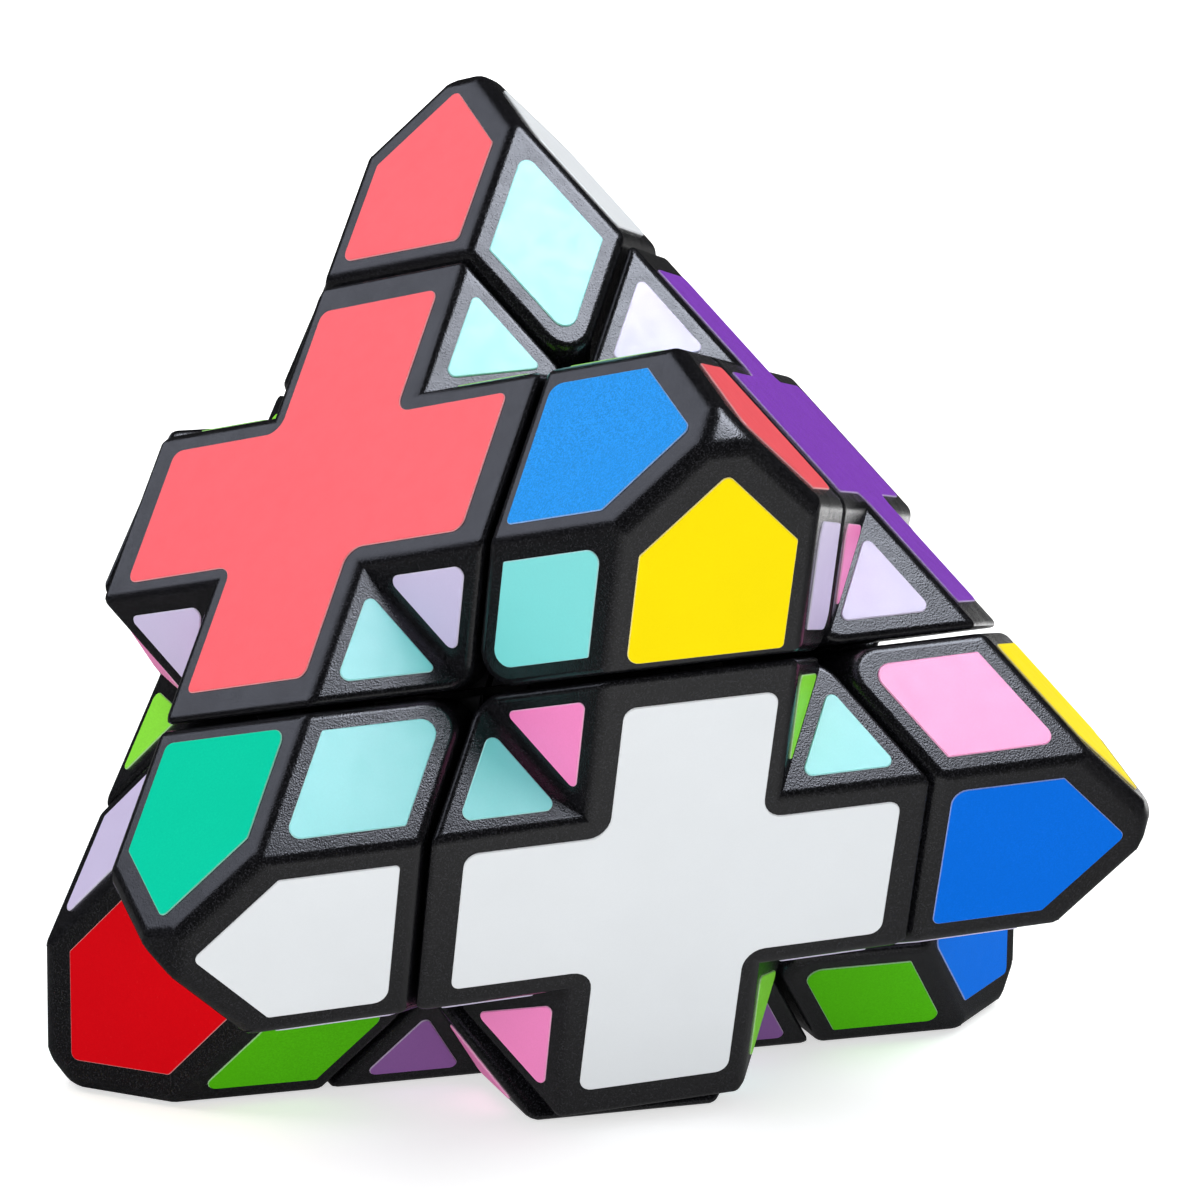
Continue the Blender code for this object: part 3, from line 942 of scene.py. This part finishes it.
def paint_kept_nodes():
    """Gives the CAD nodes that stay in view their procedural material."""
    for name, node in frame["nodes"].items():
        if node.hide_render:
            continue
        kind = next(k for k in ("base", "core", "screw", "washer", "spring") if k in name)
        node.data.materials.clear()
        node.data.materials.append(MATERIALS[kind])


# Studio.

def floor_material():
    """Near white to the camera, duller in the light that it throws back and dark in reflections."""
    material = bpy.data.materials.new("pale_floor")
    material.use_nodes = True
    nodes = material.node_tree.nodes
    links = material.node_tree.links
    nodes.clear()
    out = nodes.new("ShaderNodeOutputMaterial")
    path = nodes.new("ShaderNodeLightPath")

    def matt(grey):
        node = nodes.new("ShaderNodeBsdfDiffuse")
        node.inputs["Color"].default_value = (grey, grey, grey, 1)
        return node.outputs[0]

    def glow(strength):
        node = nodes.new("ShaderNodeEmission")
        if hasattr(strength, "links"):
            links.new(strength, node.inputs["Strength"])
        else:
            node.inputs["Strength"].default_value = strength
        return node.outputs[0]

    def both(first, second):
        node = nodes.new("ShaderNodeAddShader")
        links.new(first, node.inputs[0])
        links.new(second, node.inputs[1])
        return node.outputs[0]

    def choose(factor, first, second):
        node = nodes.new("ShaderNodeMixShader")
        links.new(factor, node.inputs["Fac"])
        links.new(first, node.inputs[1])
        links.new(second, node.inputs[2])
        return node.outputs[0]

    seen = both(matt(FLOOR_SEEN), glow(fading(nodes, links, *FLOOR_GLOW)))
    bounced = both(matt(FLOOR_BOUNCE), glow(FLOOR_BOUNCE_GLOW))
    mirrored = matt(MIRRORED_GREY)
    for patch in (MIRRORED_FRONT, MIRRORED_BEHIND):
        mirrored = both(mirrored, glow(fading(nodes, links, *patch)))
    thrown = choose(path.outputs["Is Glossy Ray"], bounced, mirrored)
    links.new(choose(path.outputs["Is Camera Ray"], thrown, seen), out.inputs["Surface"])
    return material


def fading(nodes, links, middle, reach, near, far):
    """A value that changes with the distance from a place on the table."""
    place = nodes.new("ShaderNodeNewGeometry").outputs["Position"]
    away = nodes.new("ShaderNodeVectorMath")
    away.operation = "DISTANCE"
    away.inputs[1].default_value = middle
    links.new(place, away.inputs[0])
    fade = nodes.new("ShaderNodeMapRange")
    fade.interpolation_type = "SMOOTHSTEP"
    fade.inputs["From Max"].default_value = reach
    fade.inputs["To Min"].default_value = near
    fade.inputs["To Max"].default_value = far
    links.new(away.outputs["Value"], fade.inputs["Value"])
    return fade.outputs["Result"]


def make_floor():
    """A pale table that the puzzle stands on."""
    mesh = bpy.data.meshes.new("floor")
    bm = bmesh.new()
    bmesh.ops.create_grid(bm, x_segments=8, y_segments=8, size=FLOOR_SIZE)
    bm.to_mesh(mesh)
    bm.free()
    mesh.materials.append(floor_material())
    floor = bpy.data.objects.new("floor", mesh)
    bpy.context.collection.objects.link(floor)


def add_softbox(name, azimuth, elevation, distance, width, height, radiance):
    """An area light that faces the puzzle."""
    light = bpy.data.lights.new(name, "AREA")
    light.shape = "RECTANGLE"
    light.size = width
    light.size_y = height
    light.energy = radiance * math.pi * width * height
    light.color = MIRRORED_SOFTBOXES.get(name, (1, 1, 1))
    item = bpy.data.objects.new(name, light)
    bpy.context.collection.objects.link(item)
    a, e = math.radians(azimuth), math.radians(elevation)
    away = Vector((math.sin(a) * math.cos(e), math.cos(a) * math.cos(e), math.sin(e)))
    item.location = LIGHT_TARGET + distance * away
    item.rotation_mode = "QUATERNION"
    item.rotation_quaternion = (-away).to_track_quat("-Z", "Y")
    item.visible_camera = False
    item.visible_glossy = name in MIRRORED_SOFTBOXES
    item.visible_diffuse = name not in MIRRORED_SOFTBOXES


def make_world():
    """White to the camera, soft and even for the light on surfaces, dim in reflections."""
    world = bpy.data.worlds.new("studio")
    bpy.context.scene.world = world
    world.use_nodes = True
    nodes = world.node_tree.nodes
    links = world.node_tree.links
    background = nodes["Background"]
    path = nodes.new("ShaderNodeLightPath")
    glossy = nodes.new("ShaderNodeMix")
    glossy.data_type = "FLOAT"
    glossy.inputs["A"].default_value = AMBIENT
    glossy.inputs["B"].default_value = MIRRORED_AMBIENT
    links.new(path.outputs["Is Glossy Ray"], glossy.inputs["Factor"])
    camera = nodes.new("ShaderNodeMix")
    camera.data_type = "FLOAT"
    links.new(glossy.outputs["Result"], camera.inputs["A"])
    camera.inputs["B"].default_value = 1.0
    links.new(path.outputs["Is Camera Ray"], camera.inputs["Factor"])
    background.inputs["Color"].default_value = (1, 1, 1, 1)
    links.new(camera.outputs["Result"], background.inputs["Strength"])


def make_camera():
    """A long lens, upright but for a small roll."""
    data = bpy.data.cameras.new("camera")
    data.sensor_width = SENSOR
    data.lens = LENS
    data.clip_start = CLIP_START
    data.clip_end = CLIP_END
    camera = bpy.data.objects.new("camera", data)
    bpy.context.collection.objects.link(camera)
    forward = Vector(CAMERA_FORWARD).normalized()
    roll = Matrix.Rotation(math.radians(CAMERA_ROLL), 3, -forward).to_quaternion()
    camera.location = CAMERA_PLACE
    camera.rotation_mode = "QUATERNION"
    camera.rotation_quaternion = roll @ forward.to_track_quat("-Z", "Y")
    bpy.context.scene.camera = camera


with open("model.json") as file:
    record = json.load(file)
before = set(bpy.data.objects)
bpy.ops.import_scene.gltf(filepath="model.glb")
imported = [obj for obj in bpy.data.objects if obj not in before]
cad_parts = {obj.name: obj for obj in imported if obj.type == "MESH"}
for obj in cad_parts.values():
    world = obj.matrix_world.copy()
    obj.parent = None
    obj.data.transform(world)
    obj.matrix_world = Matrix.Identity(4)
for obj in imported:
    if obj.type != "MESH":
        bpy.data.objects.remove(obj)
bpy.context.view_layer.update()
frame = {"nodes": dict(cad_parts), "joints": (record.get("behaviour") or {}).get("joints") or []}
bpy.context.scene.view_settings.view_transform = "Standard"
HALVES = half_matrices()
MATERIALS = make_materials()
build_tips()
build_centers()
paint_kept_nodes()
make_floor()
make_world()
for softbox_name, softbox in SOFTBOXES.items():
    add_softbox(softbox_name, *softbox)
make_camera()
